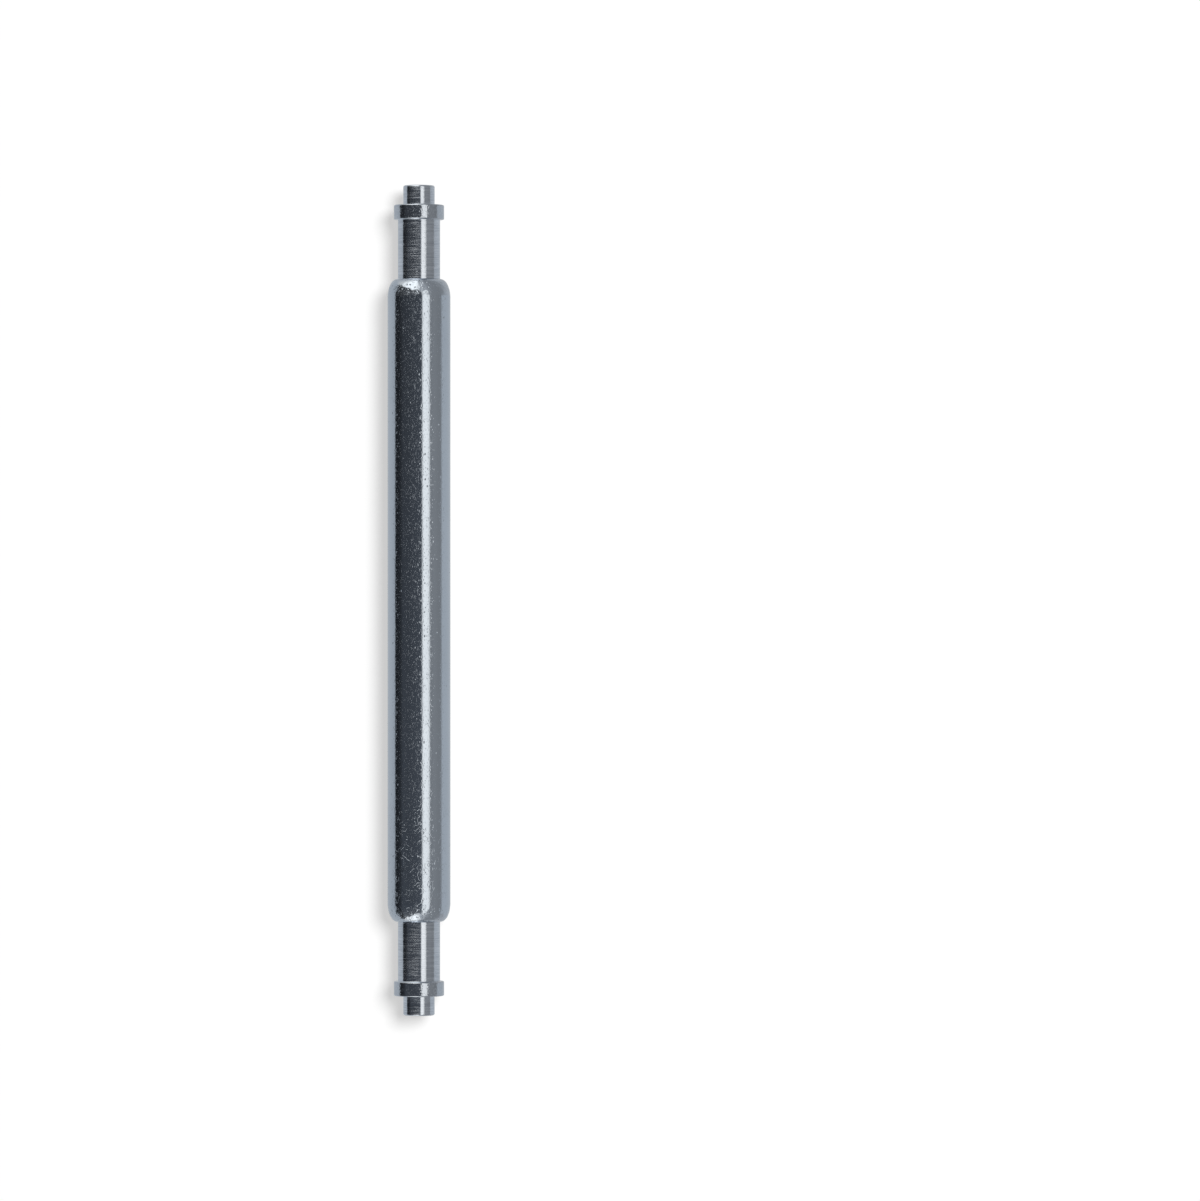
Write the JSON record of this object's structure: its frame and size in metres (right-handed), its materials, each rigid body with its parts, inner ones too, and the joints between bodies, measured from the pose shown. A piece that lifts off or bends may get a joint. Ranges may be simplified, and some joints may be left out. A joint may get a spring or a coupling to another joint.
{
  "type": "spring bar",
  "caption": "Spring-loaded bar for a watch strap: a steel tube with rolled ends holds flanged pins that slide in against a coil spring and lock into the lugs.",
  "frame": {"origin": "middle of the bar, on its axis", "axes": "+X along the bar, towards right_pin; the bar is round, so +Z is simply up as it lies on its side"},
  "size_m": [0.0238, 0.0018, 0.0018],
  "materials": {
    "tube_steel": "tumbled stainless tube, satin",
    "pin_steel": "turned stainless, fine lathe lines",
    "spring_steel": "drawn stainless spring wire"
  },
  "bodies": {
    "tube": {"tube": "tube_steel", "coil_spring": "spring_steel"},
    "left_pin": {"left_pin": "pin_steel"},
    "right_pin": {"right_pin": "pin_steel"}
  },
  "joints": [
    {"name": "left_pin_slide", "type": "slide", "parent": "tube", "child": "left_pin", "axis": [1, 0, 0], "range_m": [0, 0.0017], "stiffness_N_per_m": 520, "deforming": ["coil_spring"]},
    {"name": "right_pin_slide", "type": "slide", "parent": "tube", "child": "right_pin", "axis": [-1, 0, 0], "range_m": [0, 0.0017], "stiffness_N_per_m": 520, "deforming": ["coil_spring"]}
  ]
}
